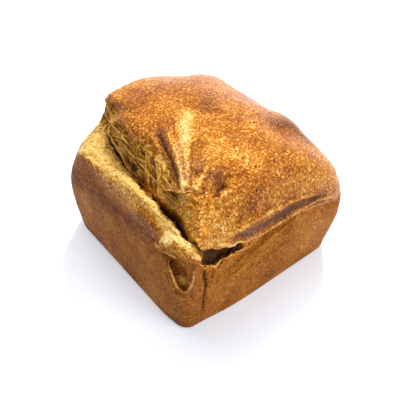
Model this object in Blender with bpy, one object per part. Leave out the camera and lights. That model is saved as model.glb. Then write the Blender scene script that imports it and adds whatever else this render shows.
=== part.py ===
"""A sweet quark loaf, baked in a square tin and burst open along one side, as one solid.

The loaf stands on its flat base with +Z up. +X runs along the front wall and +Y along the
torn side wall towards the back. Lengths are in millimetres until MM turns them to metres.
"""

import math

import bmesh
import bpy
import numpy as np
from mathutils import Vector, noise

MM = 0.001

# The tin: its inside width and length, and the radius of the loaf's corners in it, from
# the back left one by the near left one, the sharpest, to the back right one.
WIDTH = 140.0
LENGTH = 144.0
CORNERS = (17.0, 9.0, 13.0, 19.0)

# The insets of a section run from the tin wall towards the outline of this core.
CORE_WIDTH = 68.0
CORE_LENGTH = 88.0
CORE_CORNERS = (10.0, 10.0, 10.0, 10.0)
CORE_X = 10.0

# The crown of the lid: its highest point, where that lies, and how fast it falls away.
CROWN_HEIGHT = 122.0
CROWN_X = -20.0
CROWN_Y = -2.0
CROWN_FALL_X = 0.0033
CROWN_FALL_Y = 0.0021
CROWN_EDGE_POWER = 8.0

# The foot, where the wall turns under: insets and heights from the base to the wall.
BASE_RING = (6.0, 0.0)
FOOT_RING = (1.6, 1.4)
WALL_START_RING = (0.0, 6.0)

# The near left corner of the loaf drew in from the tin: where it did so most, how far it
# reached along each wall and up to which height, and how far the dough moved in x and y.
DRAWN_CORNER = (-66.0, -66.0)
DRAWN_REACH = (30.0, 14.0)
DRAWN_HEIGHT = 55.0
DRAWN_IN = (2.0, 5.8)

# Stations round the loaf, by turn: 0 at the back left corner, 1 at the near left corner
# after the torn side, 2 at the near right corner after the front, 3 at the back right. At
# each one, pairs of inset from the tin wall and height give the section: the wall at half
# height, the shoulder, the rim where the side crust ends, the inner edge of the bared
# crumb, the bottom of the cleft, the lower lip of the lid, the middle of its torn side,
# and the edge of its crust.
STATIONS = (
    (0.00, (-4, 45), (1, 68), (8, 81), (24, 94), (29, 80), (30, 97), (32, 102), (34, 107)),
    (0.12, (-3, 45), (1, 74), (5, 87), (22, 92), (27, 77), (27, 98), (28, 104), (31, 109)),
    (0.29, (-3, 46), (0, 76), (4, 92), (18, 90), (22, 76), (23, 96), (24, 104), (27, 111)),
    (0.42, (-3, 47), (0, 78), (4, 97), (15, 92), (19, 75), (20, 95), (22, 105), (27, 113)),
    (0.56, (-2, 48), (0, 80), (4, 102), (12, 94), (16, 75), (17, 98), (21, 107), (29, 115)),
    (0.68, (-2, 48), (0, 80), (4, 103), (12, 95), (16, 73), (17, 99), (20, 107), (28, 114)),
    (0.80, (-2, 48), (0, 80), (4, 100), (11, 96), (16, 72), (18, 101), (20, 107), (26, 113)),
    (0.88, (-1, 48), (0, 80), (3, 99), (11, 98), (17, 72), (19, 103), (21, 108), (27, 113)),
    (0.95, (-1, 48), (0, 80), (3, 101), (8, 99), (13, 72), (16, 102), (18, 107), (26, 113)),
    (1.00, (0, 46), (0, 78), (1, 100), (4, 98), (10, 78), (11, 99), (13, 104), (23, 112)),
    (1.05, (0, 44), (0, 74), (0, 94), (4, 92), (15, 88), (3, 101), (4, 105), (18, 110)),
    (1.09, (0, 43), (0, 64), (-1, 79), (5, 77), (16, 83), (-2, 98), (-2, 101), (12, 107)),
    (1.15, (-1, 42), (-1, 60), (-1, 71), (6, 72), (14, 82), (-3, 91), (-3, 95), (6, 103)),
    (1.25, (-1, 40), (-1, 59), (-1, 69), (5, 71), (11, 77), (-3, 82), (-3, 88), (3, 97)),
    (1.33, (-2, 39), (-1, 58), (-2, 69), (1, 71), (4, 74), (-3, 78), (-3, 86), (2, 94)),
    (1.40, (-2, 38), (-1, 57), (-2, 66), (-1, 69), (-1, 72), (-3, 76), (-3, 84), (2, 92)),
    (1.50, (-2, 38), (-2, 56), (-2, 64), (-1, 67), (-1, 70), (-3, 73), (-2, 82), (1, 91)),
    (1.70, (-3, 37), (-3, 54), (-3, 61), (-3, 65), (-2, 68), (-3, 72), (-2, 80), (1, 88)),
    (1.87, (-4, 36), (-5, 50), (-5, 56), (-4, 60), (-4, 63), (-5, 66), (-4, 72), (0, 83)),
    (2.00, (-6, 34), (-7, 47), (-7, 53), (-7, 57), (-6, 59), (-6, 62), (-5, 67), (-1, 78)),
    (2.20, (-5, 36), (-6, 54), (-5, 62), (-5, 66), (-4, 70), (-3, 75), (0, 83), (4, 90)),
    (2.50, (-4, 38), (-4, 60), (-3, 70), (-2, 75), (-1, 79), (1, 84), (4, 89), (9, 95)),
    (3.00, (-2, 36), (-2, 54), (-1, 62), (0, 67), (1, 71), (3, 76), (7, 82), (12, 87)),
    (3.50, (-2, 40), (-2, 66), (-1, 80), (0, 87), (1, 92), (2, 97), (4, 104), (7, 110)),
    (3.78, (-2, 44), (-1, 68), (1, 82), (3, 91), (4, 94), (6, 99), (7, 105), (9, 112)),
    (3.85, (-3, 44), (-1, 70), (4, 83), (13, 90), (15, 84), (14, 97), (15, 104), (17, 111)),
    (3.92, (-4, 45), (0, 70), (7, 82), (19, 94), (24, 80), (23, 98), (24, 104), (27, 109)),
)

# Folds, dents and swellings of the crust, with soft flanks: a route over the loaf, half its
# width, and how far it stands out, or sinks in where that is negative.
FOLD_POWER = 2
FOLDS = {
    "navel of the lid": (((-23, -51, 113), (-20, -49, 113)), 4.5, -4.5),
    "groove up from the navel": (((-22, -49, 113), (-32, -38, 117)), 2.5, -1.2),
    "stretched streak": (((-19, -8, 121), (-37, -24, 118), (-47, -47, 112)), 3.0, 1.0),
    "crease beside the streak": (((-22, -17, 120), (-37, -35, 117), (-43, -43, 115)), 2.2, -1.4),
    "crease by the torn edge": (((-38, 2, 120), (-42, -16, 115)), 2.2, -1.5),
    "swelling at the right": (((61, -26, 96), (64, -15, 93)), 9.0, 2.5),
    "hollow behind the swelling": (((60, 6, 97), (50, 8, 105)), 8.0, -1.5),
    "dent near the crown": (((8, 2, 119), (2, 8, 120)), 8.0, -1.6),
    "dent at the right": (((42, -30, 106),), 9.0, -1.2),
    "bulge under the rim": (((-70, -16, 92), (-69, -42, 93)), 6.0, 1.8),
    "notch before the flap": (((-70, -48, 93), (-71, -40, 80)), 2.6, -3.0),
    "folded flap": (((-70, -44, 83), (-69, -53, 94), (-67, -64, 97), (-60, -72, 91)), 4.5, 4.0),
    "fold under the flap": (((-71, -43, 76), (-72, -55, 81), (-68, -65, 82)), 2.8, -2.6),
    "fold right of the recess": (((-61, -72, 86), (-61, -72, 66), (-63, -71, 46)), 2.4, 2.0),
    "fold left of the recess": (((-72, -50, 74), (-72, -58, 62), (-72, -60, 48)), 2.6, 1.8),
    "crease down the front": (((-53, -72, 72), (-52, -72, 54), (-53, -68, 14)), 1.8, -1.8),
    "stretched ridge on the front": (((-28, -74, 48), (-10, -74, 57), (4, -75, 63)), 2.4, 1.3),
    "hollow above that ridge": (((-30, -74, 56), (-14, -74, 63)), 2.6, -1.2),
}

# The recess where the crust pulled apart at the near left corner, in the same words, but
# with a flat bottom and steep flanks.
PIT_POWER = 5
PITS = {
    "mouth of the recess": (((-71, -60, 81), (-69, -64, 71)), 5.0, -6.0),
    "foot of the recess": (((-69, -64, 71), (-67, -68, 53)), 3.6, -4.0),
}

# The crust is a baked orange brown with a dull gloss, and the crumb is pale yellow and dry.
CRUST_COLOUR = (0.47, 0.20, 0.05)
CRUST_ROUGHNESS = 0.45
CRUMB_COLOUR = (0.72, 0.46, 0.14)
CRUMB_ROUGHNESS = 0.9

# The unevenness of the crust and of the torn crumb: the size of its lumps and their height.
CRUST_LUMP = 26.0
CRUST_LUMP_HEIGHT = 0.8
CRUMB_LUMP = 7.0
CRUMB_LUMP_HEIGHT = 1.5
CLEFT_LUMP_HEIGHT = 0.2

# The unevenness starts above the foot and is whole at the second of these heights.
LEVEL_HEIGHT = 3.0
UNEVEN_HEIGHT = 12.0

# Rows of faces between one ring of the section and the next, from the base to the crown.
ROWS = (2, 2, 1, 7, 6, 4, 3, 3, 3, 3, 3, 14)
COLUMNS = 112
RIM_ROW = sum(ROWS[:6])
LEDGE_ROW = sum(ROWS[:7])
LIP_ROW = sum(ROWS[:9])
CRUST_EDGE_ROW = sum(ROWS[:11])

# The tear runs from the back wall round the left to the front, by turn, and fades over this.
TEAR_START_TURN = 3.83
TEAR_END_TURN = 1.36
TEAR_FADE = 0.06

# How close the columns stand: a share everywhere, more on the half of the loaf with the
# tear, whose middle this turn is, and most of all where the torn lid comes over the corner.
EVEN_COLUMNS = 0.55
TEAR_COLUMNS = 0.9
TEAR_HALF_TURN = 0.75
CORNER_COLUMNS = 0.8
CORNER_TURN = 1.05
CORNER_REACH = 0.13

# How the rows of the crown close up towards its middle.
CROWN_ROW_POWER = 1.25


def rounded_outline(width, length, corners, centre_x, turns):
    """A rounded rectangle read by turn: each whole turn is the middle of a corner."""
    turn_at, path = [], []
    signs = ((-1, 1), (-1, -1), (1, -1), (1, 1))
    half = np.array((width / 2, length / 2))
    eighth = np.linspace(0.0, math.pi / 4, 7)
    for side in range(4):
        stretch = []
        for end in (0, 1):
            corner = corners[(side + end) % 4]
            angle = (side + 1.5 + end / 2) * math.pi / 2 + eighth
            arc = corner * np.column_stack([np.cos(angle), np.sin(angle)])
            stretch.append((half - corner) * signs[(side + end) % 4] + arc)
        stretch = np.concatenate(stretch)
        steps = np.linalg.norm(np.diff(stretch, axis=0), axis=1)
        run = np.concatenate([[0.0], np.cumsum(steps)])
        turn_at.append(side + run / run[-1])
        path.append(stretch)
    turn_at = np.concatenate(turn_at)
    path = np.concatenate(path)
    x = np.interp(turns % 4, turn_at, path[:, 0])
    y = np.interp(turns % 4, turn_at, path[:, 1])
    return np.column_stack([x + centre_x, y])


def round_curve(known, values, turns):
    """A smooth closed curve through a value at each station, read at any turns."""
    known = np.concatenate([known[-2:] - 4, known, known[:2] + 4])
    values = np.concatenate([values[-2:], values, values[:2]])
    slopes = (values[2:] - values[:-2]) / (known[2:] - known[:-2])
    known, values = known[1:-1], values[1:-1]
    left = np.searchsorted(known, turns, side="right") - 1
    gap = known[left + 1] - known[left]
    t = (turns - known[left]) / gap
    return (
        values[left] * (1 + 2 * t) * (1 - t) ** 2
        + slopes[left] * gap * t * (1 - t) ** 2
        + values[left + 1] * t**2 * (3 - 2 * t)
        - slopes[left + 1] * gap * t**2 * (1 - t)
    )


def column_turns(count):
    """Where the columns of faces stand: closer together along the tear and its corner."""
    fine = np.linspace(0.0, 4.0, 2001)
    torn_half = np.cos(math.tau * (fine - TEAR_HALF_TURN) / 4) > 0
    near_corner = np.exp(-(((fine - CORNER_TURN) / CORNER_REACH) ** 2))
    weight = EVEN_COLUMNS + TEAR_COLUMNS * torn_half + CORNER_COLUMNS * near_corner
    walked = np.concatenate([[0.0], np.cumsum((weight[1:] + weight[:-1]) / 2)])
    return np.interp(np.arange(count) / count * walked[-1], walked, fine)


def crown(x, y):
    fall_x = CROWN_FALL_X * (x - CROWN_X) ** 2
    fall_y = CROWN_FALL_Y * (y - CROWN_Y) ** 2
    return CROWN_HEIGHT - fall_x - fall_y


def section_rings(turns):
    """The guide rings of the loaf, each as its insets and heights at the given turns."""
    known = np.array([station[0] for station in STATIONS])
    rings = []
    for inset, height in (BASE_RING, FOOT_RING, WALL_START_RING):
        rings.append((np.full_like(turns, inset), np.full_like(turns, height)))
    for ring in range(1, len(STATIONS[0])):
        pairs = np.array([station[ring] for station in STATIONS], float)
        inset = round_curve(known, pairs[:, 0], turns)
        height = round_curve(known, pairs[:, 1], turns)
        rings.append((inset, height))
    return rings


def between(rings, ring, share):
    """Insets and heights part of the way from one guide ring to the next."""
    before = rings[max(ring - 1, 0)]
    start = rings[ring]
    end = rings[ring + 1]
    after = rings[min(ring + 2, len(rings) - 1)]
    found = []
    for k in (0, 1):
        found.append(
            start[k] * (1 + 2 * share) * (1 - share) ** 2
            + (end[k] - before[k]) / 2 * share * (1 - share) ** 2
            + end[k] * share**2 * (3 - 2 * share)
            - (after[k] - start[k]) / 2 * share**2 * (1 - share)
        )
    return found


def surface_rows(turns):
    """Every ring of points from the middle of the base to the crown, in millimetres."""
    wall = rounded_outline(WIDTH, LENGTH, CORNERS, 0.0, turns)
    core = rounded_outline(CORE_WIDTH, CORE_LENGTH, CORE_CORNERS, CORE_X, turns)
    inward = (core - wall) / np.linalg.norm(core - wall, axis=1)[:, None]
    rings = section_rings(turns)
    base_rows, *wall_rows, crown_rows = ROWS

    def row(inset, height):
        return np.column_stack([wall + inward * inset[:, None], height])

    rows = []
    for k in range(1, base_rows + 1):
        flat = row(*rings[0])
        flat[:, :2] *= k / base_rows
        rows.append(flat)
    for ring, count in enumerate(wall_rows):
        for k in range(1, count + 1):
            rows.append(row(*between(rings, ring, k / count)))
    edge = rows[-1]
    sink = edge[:, 2] - crown(edge[:, 0], edge[:, 1])
    middle = np.array((CROWN_X, CROWN_Y))
    for k in range(1, crown_rows):
        share = (k / crown_rows) ** CROWN_ROW_POWER
        flat = middle + (edge[:, :2] - middle) * (1 - share)
        rise = sink * (1 - share) ** CROWN_EDGE_POWER
        rows.append(np.column_stack([flat, crown(flat[:, 0], flat[:, 1]) + rise]))
    points = np.array(rows)
    away = (points[:, :, :2] - DRAWN_CORNER) / DRAWN_REACH
    low = np.clip(1 - points[:, :, 2] / DRAWN_HEIGHT, 0.0, 1.0)
    drawn = low * np.exp(-(away**2).sum(axis=2))
    points[:, :, :2] += drawn[:, :, None] * DRAWN_IN
    return points


def tear_strength(turns):
    """1 along the tear and 0 away from it, with short slopes between."""
    middle = (TEAR_START_TURN - 4 + TEAR_END_TURN) / 2
    half = (TEAR_END_TURN - TEAR_START_TURN + 4) / 2
    away = np.abs((turns - middle + 2) % 4 - 2)
    return np.clip((half - away) / TEAR_FADE + 0.5, 0.0, 1.0)


def outward(points):
    """The directions that face out of the loaf, for rings of points."""
    along = np.roll(points, -1, axis=1) - np.roll(points, 1, axis=1)
    up = np.gradient(points, axis=0)
    normal = np.cross(along, up)
    return normal / np.linalg.norm(normal, axis=2)[:, :, None]


def distance_to_route(points, route):
    nearest = np.full(points.shape[:2], np.inf)
    route = np.array(route, float)
    if len(route) == 1:
        return np.linalg.norm(points - route[0], axis=2)
    for start, end in zip(route, route[1:]):
        run = end - start
        share = np.clip((points - start) @ run / (run @ run), 0.0, 1.0)
        foot = start + share[:, :, None] * run
        nearest = np.minimum(nearest, np.linalg.norm(points - foot, axis=2))
    return nearest


def lumps(points, size):
    """Smooth noise between about -1 and 1, with lumps of the given size."""
    flat = [noise.noise(Vector(point) / size) for point in points.reshape(-1, 3)]
    return np.array(flat).reshape(points.shape[:2])


def uneven(points, turns):
    """The rings of points with the folds, and the lumps of crust and crumb, put on."""
    relief = CRUST_LUMP_HEIGHT * lumps(points, CRUST_LUMP)
    for shapes, power in ((FOLDS, FOLD_POWER), (PITS, PIT_POWER)):
        for route, half_width, height in shapes.values():
            share = distance_to_route(points, route) / half_width
            relief += height * np.exp(-(share**power))
    row = np.arange(len(points))
    in_tear = (row > RIM_ROW) & (row < CRUST_EDGE_ROW)
    in_cleft = (row > LEDGE_ROW) & (row < LIP_ROW)
    lump_height = np.where(in_cleft, CLEFT_LUMP_HEIGHT, in_tear * CRUMB_LUMP_HEIGHT)
    relief += lump_height[:, None] * tear_strength(turns) * lumps(points, CRUMB_LUMP)
    rise = (points[:, :, 2] - LEVEL_HEIGHT) / (UNEVEN_HEIGHT - LEVEL_HEIGHT)
    relief *= np.clip(rise, 0.0, 1.0)
    return points + outward(points) * relief[:, :, None]


def food_material(name, colour, roughness):
    material = bpy.data.materials.new(name)
    material.use_nodes = True
    shader = material.node_tree.nodes["Principled BSDF"]
    shader.inputs["Base Color"].default_value = (*colour, 1.0)
    shader.inputs["Roughness"].default_value = roughness
    shader.inputs["Metallic"].default_value = 0.0
    return material


def loaf_mesh():
    turns = column_turns(COLUMNS)
    rings = uneven(surface_rows(turns), turns)
    torn = tear_strength(turns) > 0.5
    bm = bmesh.new()
    rings = [[bm.verts.new(Vector(point) * MM) for point in ring] for ring in rings]
    bottom = bm.verts.new((0.0, 0.0, 0.0))
    top_height = sum(vert.co.z for vert in rings[-1]) / COLUMNS
    top = bm.verts.new((CROWN_X * MM, CROWN_Y * MM, top_height))
    for k in range(COLUMNS):
        after = (k + 1) % COLUMNS
        bm.faces.new((bottom, rings[0][after], rings[0][k]))
        bm.faces.new((top, rings[-1][k], rings[-1][after]))
        for row, (low, high) in enumerate(zip(rings, rings[1:]), start=1):
            face = bm.faces.new((low[k], low[after], high[after], high[k]))
            face.material_index = int(torn[k] and RIM_ROW <= row < CRUST_EDGE_ROW)
    bmesh.ops.triangulate(bm, faces=bm.faces)
    mesh = bpy.data.meshes.new("loaf")
    bm.to_mesh(mesh)
    bm.free()
    mesh.materials.append(food_material("browned crust", CRUST_COLOUR, CRUST_ROUGHNESS))
    mesh.materials.append(food_material("torn crumb", CRUMB_COLOUR, CRUMB_ROUGHNESS))
    mesh.shade_smooth()
    return mesh


def main():
    for old in list(bpy.data.objects):
        bpy.data.objects.remove(old, do_unlink=True)
    loaf = bpy.data.objects.new("loaf", loaf_mesh())
    bpy.context.scene.collection.objects.link(loaf)


main()
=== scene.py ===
"""A sweet quark loaf, baked in a square tin, whose lid of crust burst open along one side.

The script follows the loaf from the dough in its tin to the torn lid, the browned crust,
the bared crumb and the bran in it, and then sets the floor, the light and the camera.
"""

import math

import bpy
import numpy as np
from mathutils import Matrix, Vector, kdtree, noise


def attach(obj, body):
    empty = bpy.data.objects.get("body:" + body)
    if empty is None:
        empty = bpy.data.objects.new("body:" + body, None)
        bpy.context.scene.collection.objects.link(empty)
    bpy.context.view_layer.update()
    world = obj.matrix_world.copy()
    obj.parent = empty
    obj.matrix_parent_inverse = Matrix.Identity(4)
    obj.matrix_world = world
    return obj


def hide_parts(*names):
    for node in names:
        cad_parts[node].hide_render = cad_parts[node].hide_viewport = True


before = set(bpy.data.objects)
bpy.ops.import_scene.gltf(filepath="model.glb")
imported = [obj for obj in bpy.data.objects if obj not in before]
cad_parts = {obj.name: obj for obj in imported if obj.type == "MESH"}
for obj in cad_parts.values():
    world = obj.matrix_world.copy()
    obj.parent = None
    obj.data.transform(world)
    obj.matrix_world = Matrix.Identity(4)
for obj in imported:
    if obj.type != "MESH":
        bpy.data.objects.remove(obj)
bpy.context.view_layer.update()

# The dough, one piece of wheat and quark, filled a square tin of sheet steel and took its
# walls. It rose over the tin's edge and set as a dome, its lid, while it baked.
# Lengths are in millimetres. Turns count the corners on the way round: 0 is the back left
# one, 1 the near left one at the end of the torn side, and 2 the near right one.
MM = 0.001
TIN_WIDTH = 140.0
TIN_LENGTH = 144.0
TIN_CORNERS = (17.0, 9.0, 13.0, 19.0)
CORE_WIDTH = 68.0
CORE_LENGTH = 88.0
CORE_CORNERS = (10.0, 10.0, 10.0, 10.0)
CORE_X = 10.0
CROWN_HEIGHT = 122.0
CROWN_X = -20.0
CROWN_Y = -2.0
CROWN_FALL_X = 0.0033
CROWN_FALL_Y = 0.0021
CROWN_EDGE_POWER = 8.0
CROWN_ROW_POWER = 1.25

# The foot: pairs of inset from the tin and height. Then, at each station, a turn and the
# same pairs for the wall at half height, the shoulder, the rim where the side crust ends,
# the inner edge of the bared crumb, the bottom of the cleft, the lower lip of the lid, the
# middle of its torn side, and the edge of its crust.
FOOT = ((6.0, 0.0), (1.6, 1.4), (0.0, 6.0))
STATIONS = (
    (0.00, (-4, 45), (1, 68), (8, 81), (24, 94), (29, 80), (30, 97), (32, 102), (34, 107)),
    (0.12, (-3, 45), (1, 74), (5, 87), (22, 92), (27, 77), (27, 98), (28, 104), (31, 109)),
    (0.29, (-3, 46), (0, 76), (4, 92), (18, 90), (22, 76), (23, 96), (24, 104), (27, 111)),
    (0.42, (-3, 47), (0, 78), (4, 97), (15, 92), (19, 75), (20, 95), (22, 105), (27, 113)),
    (0.56, (-2, 48), (0, 80), (4, 102), (12, 94), (16, 75), (17, 98), (21, 107), (29, 115)),
    (0.68, (-2, 48), (0, 80), (4, 103), (12, 95), (16, 73), (17, 99), (20, 107), (28, 114)),
    (0.80, (-2, 48), (0, 80), (4, 100), (11, 96), (16, 72), (18, 101), (20, 107), (26, 113)),
    (0.88, (-1, 48), (0, 80), (3, 99), (11, 98), (17, 72), (19, 103), (21, 108), (27, 113)),
    (0.95, (-1, 48), (0, 80), (3, 101), (8, 99), (13, 72), (16, 102), (18, 107), (26, 113)),
    (1.00, (0, 46), (0, 78), (1, 100), (4, 98), (10, 78), (11, 99), (13, 104), (23, 112)),
    (1.05, (0, 44), (0, 74), (0, 94), (4, 92), (15, 88), (3, 101), (4, 105), (18, 110)),
    (1.09, (0, 43), (0, 64), (-1, 79), (5, 77), (16, 83), (-2, 98), (-2, 101), (12, 107)),
    (1.15, (-1, 42), (-1, 60), (-1, 71), (6, 72), (14, 82), (-3, 91), (-3, 95), (6, 103)),
    (1.25, (-1, 40), (-1, 59), (-1, 69), (5, 71), (11, 77), (-3, 82), (-3, 88), (3, 97)),
    (1.33, (-2, 39), (-1, 58), (-2, 69), (1, 71), (4, 74), (-3, 78), (-3, 86), (2, 94)),
    (1.40, (-2, 38), (-1, 57), (-2, 66), (-1, 69), (-1, 72), (-3, 76), (-3, 84), (2, 92)),
    (1.50, (-2, 38), (-2, 56), (-2, 64), (-1, 67), (-1, 70), (-3, 73), (-2, 82), (1, 91)),
    (1.70, (-3, 37), (-3, 54), (-3, 61), (-3, 65), (-2, 68), (-3, 72), (-2, 80), (1, 88)),
    (1.87, (-4, 36), (-5, 50), (-5, 56), (-4, 60), (-4, 63), (-5, 66), (-4, 72), (0, 83)),
    (2.00, (-6, 34), (-7, 47), (-7, 53), (-7, 57), (-6, 59), (-6, 62), (-5, 67), (-1, 78)),
    (2.20, (-5, 36), (-6, 54), (-5, 62), (-5, 66), (-4, 70), (-3, 75), (0, 83), (4, 90)),
    (2.50, (-4, 38), (-4, 60), (-3, 70), (-2, 75), (-1, 79), (1, 84), (4, 89), (9, 95)),
    (3.00, (-2, 36), (-2, 54), (-1, 62), (0, 67), (1, 71), (3, 76), (7, 82), (12, 87)),
    (3.50, (-2, 40), (-2, 66), (-1, 80), (0, 87), (1, 92), (2, 97), (4, 104), (7, 110)),
    (3.78, (-2, 44), (-1, 68), (1, 82), (3, 91), (4, 94), (6, 99), (7, 105), (9, 112)),
    (3.85, (-3, 44), (-1, 70), (4, 83), (13, 90), (15, 84), (14, 97), (15, 104), (17, 111)),
    (3.92, (-4, 45), (0, 70), (7, 82), (19, 94), (24, 80), (23, 98), (24, 104), (27, 109)),
)
HALF_WALL, SHOULDER, RIM, LEDGE, CLEFT, LIP, TORN, CRUST_EDGE, CROWN = range(3, 12)

# Rows of faces from one of these rings to the next, the base first and the crown last, and
# the columns of faces, which stand closer along the tear and at its near corner.
ROWS = (5, 2, 4, 33, 28, 22, 16, 10, 12, 12, 16, 60)
COLUMNS = 436
EVEN_COLUMNS = 0.6
TEAR_COLUMNS = 0.75
TEAR_HALF_TURN = 0.75
TEAR_HALF_END = -0.2
CORNER_COLUMNS = 0.7
CORNER_TURN = 1.03
CORNER_REACH = 0.15
ARC_POINTS = 13


def rounded_outline(width, length, corners, centre_x, turns):
    """A rounded rectangle read by turn: each whole turn is the middle of a corner."""
    turn_at, path = [], []
    signs = ((-1, 1), (-1, -1), (1, -1), (1, 1))
    half = np.array((width / 2, length / 2))
    eighth = np.linspace(0.0, math.pi / 4, ARC_POINTS)
    for side in range(4):
        stretch = []
        for end in (0, 1):
            corner = corners[(side + end) % 4]
            angle = (side + 1.5 + end / 2) * math.pi / 2 + eighth
            arc = corner * np.column_stack([np.cos(angle), np.sin(angle)])
            stretch.append((half - corner) * signs[(side + end) % 4] + arc)
        stretch = np.concatenate(stretch)
        steps = np.linalg.norm(np.diff(stretch, axis=0), axis=1)
        run = np.concatenate([[0.0], np.cumsum(steps)])
        turn_at.append(side + run / run[-1])
        path.append(stretch)
    turn_at = np.concatenate(turn_at)
    path = np.concatenate(path)
    x = np.interp(turns % 4, turn_at, path[:, 0])
    y = np.interp(turns % 4, turn_at, path[:, 1])
    return np.column_stack([x + centre_x, y])


def eased(start, end, leaves, arrives, t):
    """A smooth curve from start to end, by its slopes at both, read at t from 0 to 1."""
    return (
        start * (1 + 2 * t) * (1 - t) ** 2
        + leaves * t * (1 - t) ** 2
        + end * t**2 * (3 - 2 * t)
        - arrives * t**2 * (1 - t)
    )


def round_curve(known, values, turns):
    """A smooth closed curve through a value at each station, read at any turns."""
    known = np.concatenate([known[-2:] - 4, known, known[:2] + 4])
    values = np.concatenate([values[-2:], values, values[:2]])
    slopes = (values[2:] - values[:-2]) / (known[2:] - known[:-2])
    known, values = known[1:-1], values[1:-1]
    left = np.searchsorted(known, turns, side="right") - 1
    gap = known[left + 1] - known[left]
    t = (turns - known[left]) / gap
    return eased(values[left], values[left + 1], slopes[left] * gap, slopes[left + 1] * gap, t)


def smooth_step(value, start, end):
    """0 up to start, 1 from end on, and a smooth rise between; it falls if end is less."""
    share = np.clip((value - start) / (end - start), 0.0, 1.0)
    return share * share * (3 - 2 * share)


def unit(vectors):
    return vectors / np.linalg.norm(vectors, axis=-1)[..., None]


fine = np.linspace(0.0, 4.0, 4001)
torn_half = np.cos(math.tau * (fine - TEAR_HALF_TURN) / 4) > TEAR_HALF_END
near_corner = np.exp(-(((fine - CORNER_TURN) / CORNER_REACH) ** 2))
weight = EVEN_COLUMNS + TEAR_COLUMNS * torn_half + CORNER_COLUMNS * near_corner
walked = np.concatenate([[0.0], np.cumsum((weight[1:] + weight[:-1]) / 2)])
turns = np.interp(np.arange(COLUMNS) / COLUMNS * walked[-1], walked, fine)

wall = rounded_outline(TIN_WIDTH, TIN_LENGTH, TIN_CORNERS, 0.0, turns)
core = rounded_outline(CORE_WIDTH, CORE_LENGTH, CORE_CORNERS, CORE_X, turns)
inward = unit(core - wall)

known_turns = np.array([station[0] for station in STATIONS])
rings = [np.tile(pair, (COLUMNS, 1)).T.astype(float) for pair in FOOT]
for ring in range(1, len(STATIONS[0])):
    pairs = np.array([station[ring] for station in STATIONS], float)
    rings.append(np.array([round_curve(known_turns, pairs[:, k], turns) for k in (0, 1)]))

# The tear ran from the back wall round the left side and over the near left corner. It
# pulled the dough apart in shreds, so the rim, the lid's lip and the edge of its crust are
# ragged. Each ragged edge: its ring, the size of its tatters, and how far they reach
# inward and upward. Along the left side the lid has sunk back and all but closed the cleft.
TEAR_START = 3.83
TEAR_END = 1.36
TEAR_FADE = 0.06
RAGGED = (
    (RIM, 5.0, 0.5, 1.0),
    (LEDGE, 6.0, 0.8, 0.5),
    (LIP, 5.0, 0.7, 1.0),
    (CRUST_EDGE, 5.0, 1.6, -0.6),
)
RAGGED_APART = 40.0
SMALL_TATTERS = 0.6
SMALLER = 2.3
TATTER_REACH = 2.5
CLEFT_CLOSES = 1.4
CLOSED_TURN = 0.4
CLOSED_REACH = (0.65, 0.5)


def lumps(places, size=1.0, seed=0.0):
    """Smooth noise between about -1 and 1, with lumps of the given size."""
    flat = places.reshape(-1, 3) / size + seed
    found = [noise.noise(Vector(place)) for place in flat]
    return np.array(found).reshape(places.shape[:-1])


middle_turn = (TEAR_START - 4 + TEAR_END) / 2
half_turn = (TEAR_END - TEAR_START + 4) / 2
away = np.abs((turns - middle_turn + 2) % 4 - 2)
tear = np.clip((half_turn - away) / TEAR_FADE + 0.5, 0.0, 1.0)
closing = tear * smooth_step(np.abs(turns - CLOSED_TURN), *CLOSED_REACH)
rings[LEDGE][0] += CLEFT_CLOSES * closing
rings[LIP][0] -= CLEFT_CLOSES * closing
whole_edge = rings[CRUST_EDGE].copy()
for ring, size, inset, height in RAGGED:
    edge = np.column_stack([wall, np.full(COLUMNS, RAGGED_APART * ring)])
    tatters = lumps(edge, size) + SMALL_TATTERS * lumps(edge, size / SMALLER)
    rings[ring][0] += tear * inset * tatters
    rings[ring][1] += tear * height * tatters


def between(ring, share):
    """Insets and heights part of the way from one ring to the next."""
    before = rings[max(ring - 1, 0)]
    start = rings[ring]
    end = rings[ring + 1]
    after = rings[min(ring + 2, len(rings) - 1)]
    return eased(start, end, (end - before) / 2, (after - start) / 2, share)


def section_row(inset, height):
    return np.column_stack([wall + inward * inset[:, None], height])


def crown(x, y):
    fall_x = CROWN_FALL_X * (x - CROWN_X) ** 2
    fall_y = CROWN_FALL_Y * (y - CROWN_Y) ** 2
    return CROWN_HEIGHT - fall_x - fall_y


base_rows, *wall_rows, crown_rows = ROWS
points, ring_at = [], []
for k in range(1, base_rows + 1):
    flat = (wall + inward * FOOT[0][0]) * k / base_rows
    points.append(np.column_stack([flat, np.zeros(COLUMNS)]))
    ring_at.append(0.0)
for ring, count in enumerate(wall_rows):
    for k in range(1, count + 1):
        points.append(section_row(*between(ring, k / count)))
        ring_at.append(ring + k / count)
edge = section_row(*whole_edge)
tatters = points[-1] - edge
sink = edge[:, 2] - crown(edge[:, 0], edge[:, 1])
middle = np.array((CROWN_X, CROWN_Y))
radius = np.linalg.norm(edge[:, :2] - middle, axis=1)
for k in range(1, crown_rows):
    share = (k / crown_rows) ** CROWN_ROW_POWER
    flat = middle + (edge[:, :2] - middle) * (1 - share)
    rise = sink * (1 - share) ** CROWN_EDGE_POWER
    row = np.column_stack([flat, crown(flat[:, 0], flat[:, 1]) + rise])
    points.append(row + tatters * np.exp(-share * radius / TATTER_REACH)[:, None])
    ring_at.append(CRUST_EDGE + k / crown_rows)
points = np.array(points)
ring_at = np.array(ring_at)[:, None]

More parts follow.
